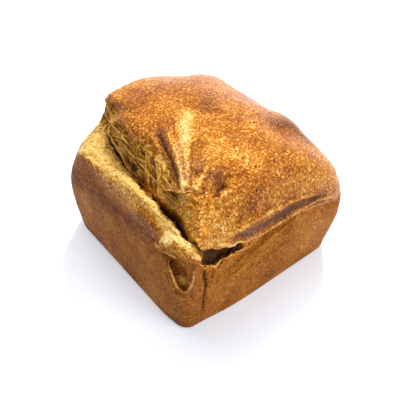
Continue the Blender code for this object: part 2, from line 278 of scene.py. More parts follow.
# The near left corner of the loaf drew in from the tin: where it did so most, how far it
# reached along each wall and up to which height, and how far the dough moved in x and y.
DRAWN_CORNER = (-66.0, -66.0)
DRAWN_REACH = (30.0, 14.0)
DRAWN_HEIGHT = 55.0
DRAWN_IN = (2.0, 5.8)
away = (points[:, :, :2] - DRAWN_CORNER) / DRAWN_REACH
drawn = np.clip(1 - points[:, :, 2] / DRAWN_HEIGHT, 0.0, 1.0) * np.exp(-(away**2).sum(axis=2))
points[:, :, :2] += drawn[:, :, None] * DRAWN_IN

# A lap is the turn counted to both sides of the back left corner, so that the tear, which
# starts behind that corner, is one stretch of it.
LAP_ENDS = 2.6
lap = np.where(turns > LAP_ENDS, turns - 4, turns)[None, :]

# The crust wrinkled, folded and stretched as the dough rose under it. Each fold, dent or
# swelling is a route over the loaf, half its width, and how far it stands out or sinks in.
# A route of x and y alone lies on the lid. Where the fold is painted too, there follow half
# the width of the paint, how much browner it is, and how much more plum. This paint is mostly
# painted shade, darker in the creases, and painted light, paler on the crests.
FOLDS = {
    "navel of the lid": (((-24, -52, 113), (-21, -50, 113)), 4.8, -5.4),
    "groove up from the navel": (((-22, -49, 113), (-32, -38, 117)), 2.5, -1.2),
    "stretched streak": (((-19, -8, 121), (-37, -24, 118), (-47, -47, 112)), 3.0, 1.0),
    "crease beside the streak": (((-22, -17, 120), (-37, -35, 117), (-43, -43, 115)), 2.2, -1.4),
    "crease by the torn edge": (((-38, 2, 120), (-42, -16, 115)), 2.2, -1.5),
    "swelling at the right": (((61, -26, 96), (64, -15, 93)), 9.0, 2.5),
    "hollow behind the swelling": (((60, 6, 97), (50, 8, 105)), 8.0, -0.9),
    "dent near the crown": (((8, 2, 119), (2, 8, 120)), 8.0, -1.6),
    "dent at the right": (((42, -30, 106),), 9.0, -1.2),
    "bulge under the rim": (((-70, -16, 92), (-69, -42, 93)), 6.0, 1.8),
    "notch before the flap": (((-70, -48, 93), (-71, -40, 80)), 2.6, -3.0),
    "folded flap": (((-70, -44, 83), (-69, -53, 94), (-67, -64, 97), (-60, -72, 91)), 4.5, 4.0),
    "fold under the flap": (((-71, -43, 76), (-72, -55, 81), (-68, -65, 82)), 2.8, -2.6),
    "fold right of the recess": (((-61, -72, 86), (-61, -72, 66), (-63, -71, 46)), 2.4, 2.0),
    "fold left of the recess": (((-72, -50, 74), (-72, -58, 62), (-72, -60, 48)), 2.6, 1.8),
    "crease down the front": (
        ((-53, -72, 76), (-54, -72, 64), (-52, -72, 52), (-53, -68, 14)), 1.3, -2.2
    ),
    "stretched ridge on the front": (
        ((-32, -74, 44), (-12, -74, 56), (6, -75, 63), (24, -75, 67)), 2.0, 1.7
    ),
    "hollow above that ridge": (((-34, -74, 53), (-16, -74, 62), (2, -75, 67)), 2.2, -1.8),
    "sharp crease beside the streak": (
        ((-20, -16), (-28, -26), (-35, -34), (-43, -44)), 1.0, -0.8, (1.2, 0.2, 0.2)
    ),
    "lifted edge of the streak": (((-14, -4), (-28, -17), (-38, -32), (-43, -40)), 1.1, 0.5),
    "pleat by the torn edge": (((-37, 3), (-39, -3), (-40, -8)), 1.1, 0.8),
    "second pleat": (((-31, 0), (-36, -14), (-42, -30)), 1.4, 0.6),
    "pit above the navel": (((-27, -31), (-29, -34)), 1.8, -0.8),
    "crease under the navel": (
        ((-22, -53), (-27, -54), (-31, -55), (-35, -59), (-36, -63)), 1.3, -2.0
    ),
    "cushion under the navel": (((-20, -58), (-13, -58)), 4.5, 1.0),
    "curled edge of the crust": (((-51, -31), (-48, -36), (-46, -46), (-44, -54)), 1.3, 1.2),
    "lower edge of the lid": (
        ((-44, -74, 91), (-33, -75, 83), (-10, -75, 75),
         (14, -75, 74), (44, -76, 73), (61, -75, 66)),
        1.2, 1.6, (1.2, -0.3, -0.6)
    ),
    "crease under that edge": (
        ((-30, -75, 79), (-10, -75, 72), (14, -75, 71), (44, -76, 70), (61, -75, 63)),
        1.1, -1.2, (1.0, 0.3, 0.2)
    ),
    "hollow over that edge": (
        ((-28, -74, 86), (-10, -74, 82), (2, -74, 81), (15, -74, 79), (29, -74, 78), (45, -75, 76)),
        2.4, -0.8
    ),
    "ragged seam over the hollow": (
        ((-28, -73, 91), (-11, -72, 89), (2, -72, 88), (15, -72, 85), (29, -73, 83), (62, -74, 69)),
        1.2, 1.3, (1.3, -0.22, -0.6)
    ),
    "upper pleat on the front": (((-46, -73, 66), (-36, -73, 67), (-22, -73, 71)), 1.1, 0.7),
    "crest of the stretched ridge": (((-28, -74, 47), (-19, -74, 54), (-2, -74, 61)), 0.9, 0.6),
    "crack in the band": (((-71, 3, 74), (-71, -11, 75), (-71, -22, 74)), 0.8, -0.7),
    "upper crack in the band": (((-72, 17, 67), (-72, 7, 66), (-72, -3, 66)), 0.8, -0.6),
    "crack at the back": (((-72, 50, 58), (-72, 44, 57)), 0.8, -0.6),
    "shadow fold of the flap": (((-71, -45, 79), (-72, -54, 77), (-69, -61, 74)), 1.0, -0.9),
    "left edge of the recess": (
        ((-70, -54, 80), (-71, -58, 70), (-71, -60, 62), (-70, -64, 51)), 1.4, 2.0
    ),
    "right edge of the recess": (
        ((-64, -73, 84), (-62, -73, 72), (-64, -71, 58), (-67, -68, 49)), 1.4, 1.8
    ),
    "pale lip of the flap": (
        ((-72, -44, 84), (-71, -50, 90), (-69, -58, 90), (-65, -68, 90)), 1.3, 2.0, (1.1, -0.2, 0.0)
    ),
    "first fold of the flap": (
        ((-72, -46, 80), (-71, -52, 84), (-69, -60, 86), (-66, -66, 85)),
        1.4, -2.8, (1.0, 0.35, 0.2)
    ),
    "second fold of the flap": (
        ((-72, -48, 73), (-72, -52, 66), (-72, -55, 58), (-71, -60, 48)),
        1.3, -2.0, (1.0, 0.25, 0.3)
    ),
    "third fold of the flap": (
        ((-60, -74, 82), (-58, -74, 70), (-58, -74, 58), (-60, -73, 48)), 1.2, -1.6
    ),
    "fold right of the front crease": (((-49, -73, 78), (-46, -73, 68), (-47, -73, 56)), 1.5, 1.5),
    "slanting fold on the front": (
        ((-48, -73, 60), (-38, -74, 70), (-26, -74, 74)), 1.2, -1.4, (1.0, 0.3, 0.2)
    ),
    "low slanting fold": (((-47, -73, 40), (-30, -74, 36), (-10, -74, 44)), 1.6, 0.8),
    "first ridge by the torn edge": (
        ((-36, 8), (-38, 0), (-41, -9), (-43, -18)), 1.4, 1.2, (1.3, -0.2, -0.3)
    ),
    "first crease by the torn edge": (
        ((-33, 3), (-37, -10), (-40, -22), (-43, -32)), 1.2, -1.0, (1.1, 0.16, 0.3)
    ),
    "second ridge by the torn edge": (
        ((-28, -1), (-34, -16), (-40, -30), (-45, -40)), 1.5, 1.2, (1.4, -0.3, -0.5)
    ),
    "second crease by the torn edge": (
        ((-24, -2), (-29, -16), (-34, -25), (-41, -36)), 1.0, -0.5, (1.0, 0.1, 0.1)
    ),
    "ridge by the navel": (((-25, -38), (-34, -43), (-40, -47)), 1.4, 1.2, (1.3, -0.3, -0.4)),
    "crease by the navel": (((-24, -41), (-33, -46), (-38, -51)), 1.1, -1.2, (1.0, 0.25, 0.2)),
    "ridge under the navel": (((-19, -57), (-26, -58), (-32, -59)), 1.6, 1.3, (1.4, -0.2, -0.3)),
    "right edge of the flap": (((-57, -74, 92), (-54, -74, 80), (-53, -73, 70)), 1.3, 1.2),
}
FOLD_POWER = 2
PITS = {
    "mouth of the recess": (((-70, -63, 79), (-69, -65, 71)), 6.0, -5.0),
    "foot of the recess": (((-69, -65, 70), (-68, -67, 57)), 4.4, -4.0),
}
PIT_POWER = 7
SWELLING = 0.8
SWELLING_SIZE = 26.0


def near(route, half_width, power=FOLD_POWER):
    """1 on a route over the loaf, falling to 0 about twice the half width away."""
    route = np.array(route, float)
    size = route.shape[1]
    seen = points[..., :size]
    nearest = np.linalg.norm(seen - route[0], axis=-1)
    for start, end in zip(route, route[1:]):
        run = end - start
        share = np.clip((seen - start) @ run / (run @ run), 0.0, 1.0)
        gap = seen - start - share[..., None] * run
        nearest = np.minimum(nearest, np.linalg.norm(gap, axis=-1))
    found = np.exp(-((nearest / half_width) ** power))
    return found if size == 3 else found * (ring_at > TORN)


relief = SWELLING * lumps(points, SWELLING_SIZE)
for shapes, power in ((FOLDS, FOLD_POWER), (PITS, PIT_POWER)):
    for route, half_width, height, *_ in shapes.values():
        relief += height * near(route, half_width, power)

# The crust is drawn out in fine wrinkles where it stretched. Each field of them: its
# route, half width, the direction of the pull, and the length, width and height of one.
WRINKLES = (
    (((-14, 0), (-32, -20), (-45, -42)), 14.0, (-0.58, -0.81, 0.0), 18.0, 2.4, 0.85),
    (((-30, -40), (-38, -54)), 10.0, (-0.5, -0.8, -0.3), 12.0, 2.2, 0.7),
    (((-22, -50), (-22, -51)), 12.0, (-0.6, 0.8, 0.0), 10.0, 2.6, 0.6),
    (((-72, 60, 66), (-72, 0, 68), (-72, -35, 76)), 9.0, (0.0, 0.97, -0.24), 15.0, 2.4, 0.5),
    (((-50, -73, 56), (-20, -74, 56), (10, -75, 62)), 13.0, (0.9, 0.0, 0.43), 26.0, 2.6, 0.9),
    (((-66, -66, 60), (-60, -70, 40)), 12.0, (-0.2, 0.0, 0.98), 22.0, 2.6, 0.9),
    (((-72, -50, 62), (-72, -54, 45)), 10.0, (0.0, -0.35, 0.94), 18.0, 2.4, 0.9),
    (((-69, -52, 90), (-65, -66, 92)), 8.0, (0.3, -0.9, 0.1), 12.0, 2.2, 1.0),
)


def drawn_out(direction, length, width):
    """Ridges and grooves drawn out along a direction, from 1 on a ridge to -1."""
    direction = unit(np.array(direction))
    run = (points @ direction)[..., None] * direction
    swayed = (points - run) / width + run / length
    return 1 - 2 * np.abs(lumps(swayed)) ** 0.7


# The ridges and grooves of the wrinkles are kept, to paint light and shade on them.
wrinkle_light_and_shade = np.zeros_like(relief)
for route, half_width, direction, length, width, height in WRINKLES:
    field = near(route, half_width) * drawn_out(direction, length, width)
    wrinkle_light_and_shade += field
    relief += height * field


def over_rings(start, end):
    """A smooth rise or fall between two rings, which may be counted in parts."""
    return smooth_step(ring_at, start, end)


def over_turns(start, end):
    return smooth_step(lap, start, end)


# The skin is lumpy too, more on the lid than on the walls. Heights are in millimetres.
LID_LUMPS = 0.25
LID_GRAINS = 0.14
WALL_LUMPS = 0.1
on_lid = over_rings(CRUST_EDGE, CRUST_EDGE + 0.1)
relief += on_lid * (LID_LUMPS * lumps(points, 6.0) + LID_GRAINS * lumps(points, 2.8))
relief += (1 - on_lid) * WALL_LUMPS * lumps(points, 4.0)

# The torn side of the lid is drawn out in threads along the tear. A strip of its crumb
# hangs over the cleft, skin of the dome still covers its near end, and the rim of the left
# wall has rounded as it dried.
THREAD_LENGTH = 24.0
THREAD_WIDTH = 2.1
THREAD_HEIGHT = 1.7
THREAD_SWAY = 0.9
THREAD_SLOPE = 0.16
STRIP_HEIGHT = 1.6
STRIP_WIDTH = 0.17
TEAR_LUMPS = 1.5
CLEFT_LUMPS = 0.2
RIM_ROUNDING = 2.0
steps = np.linalg.norm(np.diff(wall, axis=0), axis=1)
along = np.concatenate([[0.0], np.cumsum(steps)])
along = np.where(turns > LAP_ENDS, along - along[-1], along)[None, :] + 0 * ring_at
climb = np.linalg.norm(np.diff(points, axis=0), axis=2)
climb = np.concatenate([np.zeros((1, COLUMNS)), np.cumsum(climb, axis=0)])
climb = climb + THREAD_SWAY * lumps(points, 11.0, 5.0) + THREAD_SLOPE * along
grain = np.stack([along, climb, 0 * climb], axis=-1)
threads = 1 - 2 * np.abs(lumps(grain / (THREAD_LENGTH, THREAD_WIDTH, 1.0))) ** 0.7
skin = smooth_step(lap + 0.03 * lumps(points, 5.0), 0.8, 0.92) * over_turns(1.45, 1.3)
torn_side = tear * over_rings(LIP - 0.2, LIP + 0.3) * over_rings(CRUST_EDGE, TORN + 0.7)
torn_side = torn_side * (1 - 0.85 * skin)
hanging = LIP + 0.2 + 0.12 * lumps(points, 12.0, 7.0)
strip = np.exp(-(((ring_at - hanging) / STRIP_WIDTH) ** 2))
strip = strip * over_turns(0.08, 0.16) * over_turns(0.66, 0.56)
in_cleft = (ring_at > LEDGE) & (ring_at < LIP)
in_tear = (ring_at > RIM) & (ring_at < CRUST_EDGE)
relief += np.where(in_cleft, CLEFT_LUMPS, in_tear * TEAR_LUMPS) * tear * lumps(points, 7.0)
relief += THREAD_HEIGHT * threads * torn_side + STRIP_HEIGHT * strip
along_rim = tear * over_turns(0.22, 0.4) * over_turns(0.96, 0.86)
rounded = over_rings(RIM - 0.5, RIM) * over_rings(RIM + 0.6, RIM)
relief -= RIM_ROUNDING * along_rim * rounded

# The ledge is open crumb: the tear cut through bubbles of the dough, a few of them large.
BUBBLES = 420
BUBBLE_RADIUS = 0.9
BUBBLE_SPREAD = 0.35
BUBBLE_DEPTH = 0.9
LEDGE_LUMPS = 0.45
ledge = tear * over_rings(RIM, RIM + 0.15) * over_rings(LEDGE + 0.2, LEDGE - 0.1)
random = np.random.default_rng(11)
crumb_points = np.flatnonzero((ledge > 0.3).ravel())
chosen = random.choice(crumb_points, BUBBLES, replace=False)
radii = BUBBLE_RADIUS * random.lognormal(0.0, BUBBLE_SPREAD, BUBBLES)
flat_points = points.reshape(-1, 3)
bubbles = kdtree.KDTree(BUBBLES)
for index, place in enumerate(flat_points[chosen]):
    bubbles.insert(place, index)
bubbles.balance()
opened = np.zeros(len(flat_points))
for place in crumb_points:
    for _, index, gap in bubbles.find_range(flat_points[place], 2.5 * BUBBLE_RADIUS):
        depth = BUBBLE_DEPTH * radii[index] * math.exp(-((gap / radii[index]) ** 4))
        opened[place] = max(opened[place], depth)
opened = opened.reshape(relief.shape)
relief += ledge * (LEDGE_LUMPS * lumps(points, 2.6) - opened)

# The relief fades to nothing at the foot, so that the loaf stands flat.
RELIEF_FROM = 3.0
RELIEF_REACH = 9.0
sideways = np.roll(points, -1, axis=1) - np.roll(points, 1, axis=1)
normals = unit(np.cross(sideways, np.gradient(points, axis=0)))
relief *= np.clip((points[:, :, 2] - RELIEF_FROM) / RELIEF_REACH, 0.0, 1.0)
surface = points + normals * relief[:, :, None]

# How the loaf baked. Crumb is 1 where the tear bared it. Browning goes from 0 for bare
# crumb by 0.3 for gold to 1 for the darkest crust, and also carries painted light and shade
# on the wrinkles and folds. Plum is the purplish brown of the crust that baked thin and
# hard. A painted shade darkens the crumb in the cleft and under the lid's lip, 1 where it is
# darkest. The rim of the left wall and the skin over the near end of the tear stayed golden.
CRUST_BROWN = 0.5
CRUMB_BROWN = 0.08
THREAD_BROWN = 0.41
THREAD_PALER = 0.38
WRINKLE_PAINTED_LIGHT = 0.17
SKIN_BROWN = 0.42
STRIP_BROWNER = 0.38
RIM_BROWNER = 0.02
RIM_GOLDEN = 0.27
RIM_BAND = 0.44
border = 0.22 * lumps(points, 3.2) + 0.2 * lumps(points, 8.0)
golden_from = RIM - RIM_BAND * along_rim
over_golden = ring_at + 0.3 * border - golden_from
crumb = tear * smooth_step(ring_at + border + 0.1 * along_rim, RIM - 0.16, RIM + 0.04)
crumb = crumb * smooth_step(ring_at + border, CRUST_EDGE + 0.1, CRUST_EDGE - 0.15)
crumb = crumb * (1 - smooth_step(skin, 0.3, 0.7) * over_rings(LIP - 0.2, LIP + 0.3))
# Painted shade: the crumb in the cleft and in the cavity under the lid's lip is painted darker.
cleft = tear * over_rings(LEDGE, LEDGE + 0.6) * over_rings(LIP + 0.1, LIP - 0.3)
cavity = over_turns(1.02, 1.07) * over_turns(1.37, 1.33)
cavity = cavity * over_rings(RIM - 0.1, RIM + 0.15) * over_rings(LIP + 0.05, LIP - 0.1)
painted_shade = np.maximum(cleft, 1.12 * cavity)
tin_side = (1 - tear) * over_rings(LIP + 0.3, LEDGE)
tin_side = tin_side + tear * smooth_step(ring_at - golden_from, -0.2, -0.6)
rim = tear * over_rings(SHOULDER, SHOULDER + 0.25) * over_rings(RIM + 0.2, RIM)
golden = skin * tear * over_rings(LIP, LIP + 0.4) * over_rings(CRUST_EDGE + 6, CRUST_EDGE)
gold = SKIN_BROWN + 0.14 * lumps(points, 7.0) + 0.12 * lumps(points, 2.6)
browning = CRUST_BROWN + 0.1 * lumps(points, 18.0)
# Painted light and shade: the crests of the wrinkles paler and their grooves darker, less so below
# the edge of the crust.
browning = browning - WRINKLE_PAINTED_LIGHT * wrinkle_light_and_shade * (1 - 0.4 * (ring_at < CRUST_EDGE))
browning = browning + rim * (RIM_BROWNER - RIM_GOLDEN * smooth_step(over_golden, -0.25, 0.1))
bared = CRUMB_BROWN + torn_side * (THREAD_BROWN - THREAD_PALER * threads)
browning = browning * (1 - crumb) + crumb * bared
browning = browning * (1 - golden) + golden * gold
browning = browning + strip * STRIP_BROWNER

# Where the crust took another colour without a fold, and where light and shade are painted
# on it: each route over the loaf, half its width, and how much browner and how much more
# plum it is. The painted light and shade are marked below.
BAKED_AND_PAINTED_LIGHT = {
    "band under the rim": (
        ((-72, 66, 62), (-71, 29, 68), (-72, -2, 70), (-71, -31, 78)), 9.0, 0.05, 0.8
    ),
    "bulge under the rim": (((-71, -26, 93), (-70, -40, 94)), 5.0, 0.3, 0.5),
    "crust by the torn edge": (((-31, 4), (-36, -21), (-42, -34)), 5.0, 0.18, 0.7),
    "golden streak": (((-6, 6), (-26, -14), (-42, -40)), 5.4, -0.33, 0.0),
    "golden skirt of the dome": (((36, -68, 90), (62, -66, 84), (71, -40, 80)), 10.0, -0.14, 0.0),
    "skin over the near corner": (
        ((-52, -46, 106), (-53, -66, 104), (-36, -73, 92)), 11.0, -0.08, 0.0
    ),
    # Painted sheen: the middle of the dome, where the glaze catches the light, is painted paler.
    "painted sheen on the middle of the dome": (((-3, -20), (-8, -31), (4, -40)), 10.0, -0.17, 0.0),
    "patch near the crown": (((13, 9),), 9.0, 0.15, 0.6),
    "pitted patch": (((-27, -31), (-31, -37)), 4.5, 0.15, 0.6),
    "navel": (((-22, -46), (-26, -51)), 4.6, 0.08, 0.9),
    # Painted shade: a dark line in the crease at the foot of the navel.
    "heart of the navel": (((-22, -54), (-26, -54), (-30, -56)), 1.3, 0.5, 0.2),
    "patch at the right": (((49, -22), (56, -28), (60, -37)), 8.0, 0.12, 0.6),
    "pale side of the lid": (
        ((-28, -74, 86), (-10, -74, 81), (2, -74, 80), (15, -74, 79), (29, -74, 78), (50, -75, 74)),
        3.6, 0.22, 1.0
    ),
    "top of the flap": (((-69, -52, 96), (-66, -63, 99), (-60, -71, 95)), 3.2, -0.16, 0.0),
    # Painted shade, as darker lines: the fold under the flap, the crease down the front, the foot
    # and left edge of the recess, the third fold and the hollow above the ridge.
    "fold under the flap": (((-71, -45, 78), (-72, -54, 77), (-69, -61, 74)), 1.4, 0.16, 0.0),
    "crease down the front": (
        ((-53, -72, 76), (-54, -72, 64), (-52, -72, 52), (-53, -69, 20)), 0.9, 0.5, 0.2
    ),
    "foot of the recess": (((-70, -64, 51), (-67, -68, 48)), 1.6, 0.3, 0.0),
    "left edge of the recess": (
        ((-70, -57, 76), (-70, -60, 68), (-70, -63, 60), (-69, -65, 52)), 1.2, 0.3, 0.0
    ),
    "third fold of the flap": (((-60, -74, 82), (-58, -74, 70), (-58, -74, 58)), 0.9, 0.2, 0.2),
    "hollow above the ridge on the front": (
        ((-34, -74, 52), (-16, -74, 61), (2, -75, 66)), 1.2, 0.2, 0.2
    ),
    # Painted light: the crest of the ridge on the front is painted paler.
    "crest of the ridge on the front": (
        ((-32, -74, 44), (-12, -74, 56), (6, -75, 63)), 1.2, -0.15, 0.0
    ),
}
PIT_EDGE_SHADE = 0.16
PIT_PALER = 0.2
plum = np.zeros_like(browning)
# The colours of the folds: mostly painted shade in their creases and painted light on their crests.
painted_folds = [(fold[0], *fold[3]) for fold in FOLDS.values() if len(fold) > 3]
for route, half_width, darker_by, plummer in [*BAKED_AND_PAINTED_LIGHT.values(), *painted_folds]:
    place = near(route, half_width)
    browning += darker_by * place
    plum += plummer * place
# Painted shade: a darker ring at the edge of each pit, whose floor is painted paler.
for route, half_width, _ in PITS.values():
    inside = near(route, half_width, PIT_POWER)
    pit_edge_shade = 4 * inside * (1 - inside)
    browning += PIT_EDGE_SHADE * pit_edge_shade - PIT_PALER * inside
    plum *= 1 - inside
plum = np.clip(plum, 0.0, 1.0) * (1 - crumb)
plum *= 1 - rim * smooth_step(over_golden, -0.35, -0.15)

# The mesh of the loaf, closed at the middle of its base and at its crown.
rows = len(points)
top = [[CROWN_X, CROWN_Y, surface[-1][:, 2].mean()]]
vertices = np.concatenate([surface.reshape(-1, 3), [[0.0, 0.0, 0.0]], top]) * MM
corner = np.arange(COLUMNS)
after = (corner + 1) % COLUMNS
faces = []
for row in range(rows - 1):
    low, high = row * COLUMNS, (row + 1) * COLUMNS
    faces += np.column_stack([low + corner, low + after, high + after, high + corner]).tolist()
bottom, crest, last = rows * COLUMNS, rows * COLUMNS + 1, (rows - 1) * COLUMNS
faces += np.column_stack([np.full(COLUMNS, bottom), after, corner]).tolist()
faces += np.column_stack([np.full(COLUMNS, crest), last + corner, last + after]).tolist()
loaf_mesh = bpy.data.meshes.new("quark_loaf")
loaf_mesh.from_pydata(vertices.tolist(), [], faces)


def paint(name, values, kind="FLOAT", key="value"):
    """Gives the loaf a value at each point, and that of the nearest ring at its two poles."""
    whole = np.broadcast_to(values, (rows, COLUMNS, *np.shape(values)[2:]))
    flat = whole.reshape(rows * COLUMNS, -1)
    ends = [flat[:COLUMNS].mean(0), flat[-COLUMNS:].mean(0)]
    layer = loaf_mesh.attributes.new(name, kind, "POINT")
    layer.data.foreach_set(key, np.concatenate([flat, ends]).astype(np.float32).ravel())


def new_object(name, data):
    made = bpy.data.objects.new(name, data)
    bpy.context.scene.collection.objects.link(made)
    return made


baked_as = {"browning": browning, "plum": plum, "painted_shade": painted_shade, "tin_side": tin_side}
for name, values in {**baked_as, "torn_side": torn_side}.items():
    paint(name, values)
paint("grain", grain * MM, "FLOAT_VECTOR", "vector")

# The slots of the loaf: glossy crust on top, crumb in the tear, and matte crust against
# the tin and below the rim of the tear.
TOP, CRUMB, SIDE = range(3)
below_rim = (tear > 0.5) & (ring_at < RIM + 0.1)
crust_at = np.where((tin_side > 0.5) | below_rim, SIDE, TOP)
finish_at = np.where(crumb > 0.5, CRUMB, crust_at)[:-1].ravel()
ends = [np.full(COLUMNS, SIDE), np.full(COLUMNS, TOP)]
loaf_mesh.polygons.foreach_set("material_index", np.concatenate([finish_at, *ends]))
loaf_mesh.shade_smooth()
loaf = new_object("quark_loaf", loaf_mesh)


def colour(code):
    """A hex sRGB colour as the linear values that a shader takes."""
    parts = [int(code[k : k + 2], 16) / 255 for k in (0, 2, 4)]
    linear = [c / 12.92 if c <= 0.04045 else ((c + 0.055) / 1.055) ** 2.4 for c in parts]
    return (*linear, 1.0)


def feed(tree, node, inputs):
    """Sets a node's inputs to values, or links them to sockets or to other nodes."""
    for key, value in inputs.items():
        if isinstance(value, bpy.types.Node):
            value = value.outputs[0]
        if isinstance(value, bpy.types.NodeSocket):
            tree.links.new(value, node.inputs[key])
        else:
            node.inputs[key].default_value = value


def add(tree, kind, inputs=(), stops=(), **settings):
    """Adds a node with its settings, its inputs by name or in order, and a ramp's stops.

    The kind is the node's type, which may leave out the word ShaderNode.
    """
    node = tree.nodes.new(kind if "Node" in kind else "ShaderNode" + kind)
    for name, value in settings.items():
        setattr(node, name, value)
    feed(tree, node, inputs if isinstance(inputs, dict) else dict(enumerate(inputs)))
    if stops:
        ramp = node.color_ramp.elements
        for position, _ in stops[2:]:
            ramp.new(position)
        for element, (position, code) in zip(ramp, stops):
            element.position = position
            element.color = colour(code)
    return node


def finish_of(name):
    """A new material, with its node tree, its shader and the place on the piece."""
    finish = bpy.data.materials.new(name)
    finish.use_nodes = True
    tree = finish.node_tree
    place = add(tree, "TexCoord").outputs["Object"]
    return finish, tree, tree.nodes["Principled BSDF"], place


# Browned crust: dough whose skin dried and browned against the air and the tin, with the
# glaze that its own milk and sugar gave it. To the eye: orange brown with a dull gloss,
# grained by a fine blistered skin, purplish where it baked hardest, and duller and more
# even where it lay against the tin. The blisters, about 0.4 mm on such a loaf, are drawn
# 1.6 mm across so that they show, and their pale grains are painted glints as well. Each
# contrast is in the same units as the browning.
BLISTER = 1.6
BLISTER_RELIEF = 1.7
BLISTER_AND_GLINT_CONTRAST = 2.3
DARK_GRAINS = 0.6
TIN_EVENS = 0.6
BLOTCH = 8.0
BLOTCH_CONTRAST = 0.35
BLOTCH_PLUM = 0.45
CLOUD = 24.0
CLOUD_CONTRAST = 0.3
ROUGHNESS = 0.28
TIN_ROUGHENS = 0.32
# The palest stop is reached by the pale grains, which are also painted glints.
BROWNING = (
    (0.0, "F2CB84"), (0.2, "D69632"), (0.4, "B86D12"),
    (0.6, "8F490D"), (0.8, "5F2A0E"), (1.0, "2C120A"),
)
TIN_BROWNING = (
    (0.0, "C9924B"), (0.35, "A0631F"), (0.6, "7E4513"), (0.85, "4A220A"), (1.0, "220E06"),
)
PLUM = ((0.0, "9C6645"), (0.5, "6C3B24"), (1.0, "2C130D"))


def crust_finish(name, specular):
    """Browned crust: its colour from how it baked, its grain and painted glints from its blisters.
    """
    finish, tree, shader, place = finish_of(name)
    side, baked, plummed = (
        add(tree, "Attribute", attribute_name=layer).outputs["Fac"]
        for layer in ("tin_side", "browning", "plum")
    )
    skin_pattern = {"Vector": place, "Scale": 1 / (BLISTER * MM), "Detail": 3.0, "Roughness": 0.65}
    blisters = add(tree, "TexNoise", skin_pattern)
    blotches = add(tree, "TexNoise", {"Vector": place, "Scale": 1 / (BLOTCH * MM)})
    clouds = add(tree, "TexNoise", {"Vector": place, "Scale": 1 / (CLOUD * MM)})

    # Grains paler than the crust show in full and darker ones less; the pale ones also stand
    # in for glints, a painted highlight. All the noises lie about a half: the middle takes that
    # off for the clouds and the blotches.
    size = add(tree, "Math", (side, -TIN_EVENS, BLISTER_AND_GLINT_CONTRAST), operation="MULTIPLY_ADD")
    grains_and_glints = add(tree, "Math", (blisters, 0.5), operation="SUBTRACT")
    faint = add(tree, "Math", (grains_and_glints, DARK_GRAINS), operation="MULTIPLY")
    grains_and_glints = add(tree, "Math", (grains_and_glints, faint), operation="MAXIMUM")
    middle = (CLOUD_CONTRAST + BLOTCH_CONTRAST) / 2
    grains_and_glints = add(tree, "Math", (grains_and_glints, size, middle), operation="MULTIPLY_ADD")
    for stain, contrast in ((clouds, CLOUD_CONTRAST), (blotches, BLOTCH_CONTRAST)):
        baked = add(tree, "Math", (stain, contrast, baked), operation="MULTIPLY_ADD")
    brown = add(tree, "Math", (baked, grains_and_glints), operation="SUBTRACT", use_clamp=True)

    oven, tin, dark = (
        add(tree, "ValToRGB", (brown,), stops) for stops in (BROWNING, TIN_BROWNING, PLUM)
    )
    tone = add(tree, "Mix", {0: side, 6: oven, 7: tin}, data_type="RGBA").outputs[2]
    plums = add(tree, "Math", (blotches, BLOTCH_PLUM), operation="ADD")
    plums = add(tree, "Math", (plummed, plums), operation="MULTIPLY", use_clamp=True)
    tone = add(tree, "Mix", {0: plums, 6: tone, 7: dark}, data_type="RGBA").outputs[2]
    gloss = add(tree, "Math", (side, TIN_ROUGHENS, ROUGHNESS), operation="MULTIPLY_ADD")
    raised = add(tree, "Math", (side, -TIN_EVENS, 1.0), operation="MULTIPLY_ADD")
    bump = {"Height": blisters, "Strength": raised, "Distance": BLISTER_RELIEF * MM}
    bump = add(tree, "Bump", bump)
    feed(tree, shader, {"Base Color": tone, "Roughness": gloss, "Normal": bump})
    feed(tree, shader, {"Specular IOR Level": specular, "Specular Tint": colour("FFCB88")})
    return finish


top_crust = crust_finish("glossy oven-browned crust", 0.3)
side_crust = crust_finish("matte crust baked against the tin", 0.06)

# Torn crumb: the inside of the loaf where it was pulled apart, airy, dry and pale yellow
# from quark, egg and butter. To the eye: matte and soft, with dark pinhole pores on the
# ledge, and drawn out in threads of gold and brown on the side of the lid. In the cleft and
# under the lid's lip it is painted darker, as painted shade.
PORE = 1.9
PORE_STEEPNESS = 2.2
PORE_SHADE = 0.22
FLUFF = 1.6
FLUFF_CONTRAST = 0.5
THREAD = 1.2
THREAD_STRETCH = (0.12, 1.0, 1.0)
THREAD_CONTRAST = 1.2
THREAD_SHADE = 0.06
DEEP_SHADE = 0.64
CRUMB_SHADES = (
    (0.0, "E9C57E"), (0.12, "DAA84F"), (0.3, "BC8424"),
    (0.5, "8C5514"), (0.75, "512B0D"), (1.0, "241107"),
)
crumb_finish, tree, shader, place = finish_of("torn airy quark crumb")
drawn_along = add(tree, "Attribute", attribute_name="grain").outputs["Vector"]
on_side, baked, shaded = (
    add(tree, "Attribute", attribute_name=layer).outputs["Fac"]
    for layer in ("torn_side", "browning", "painted_shade")
)
pores = add(tree, "TexVoronoi", {"Vector": place, "Scale": 1 / (PORE * MM)})
walls = add(tree, "Math", (pores, PORE_STEEPNESS), operation="MULTIPLY")
walls = add(tree, "Math", (walls, 1.0, 0.3), operation="SMOOTH_MIN")
fine_grain = {"Detail": 3.0, "Roughness": 0.6}
fluff = {"Vector": place, "Scale": 1 / (FLUFF * MM), **fine_grain}
fluff = add(tree, "TexNoise", fluff)
stretch = add(tree, "VectorMath", (drawn_along, THREAD_STRETCH), operation="MULTIPLY")
fibres = {"Vector": stretch, "Scale": 1 / (THREAD * MM), **fine_grain}
fibres = add(tree, "TexNoise", fibres)
texture = {0: on_side, 2: walls, 3: fibres}
texture = add(tree, "Mix", texture, data_type="FLOAT").outputs[0]

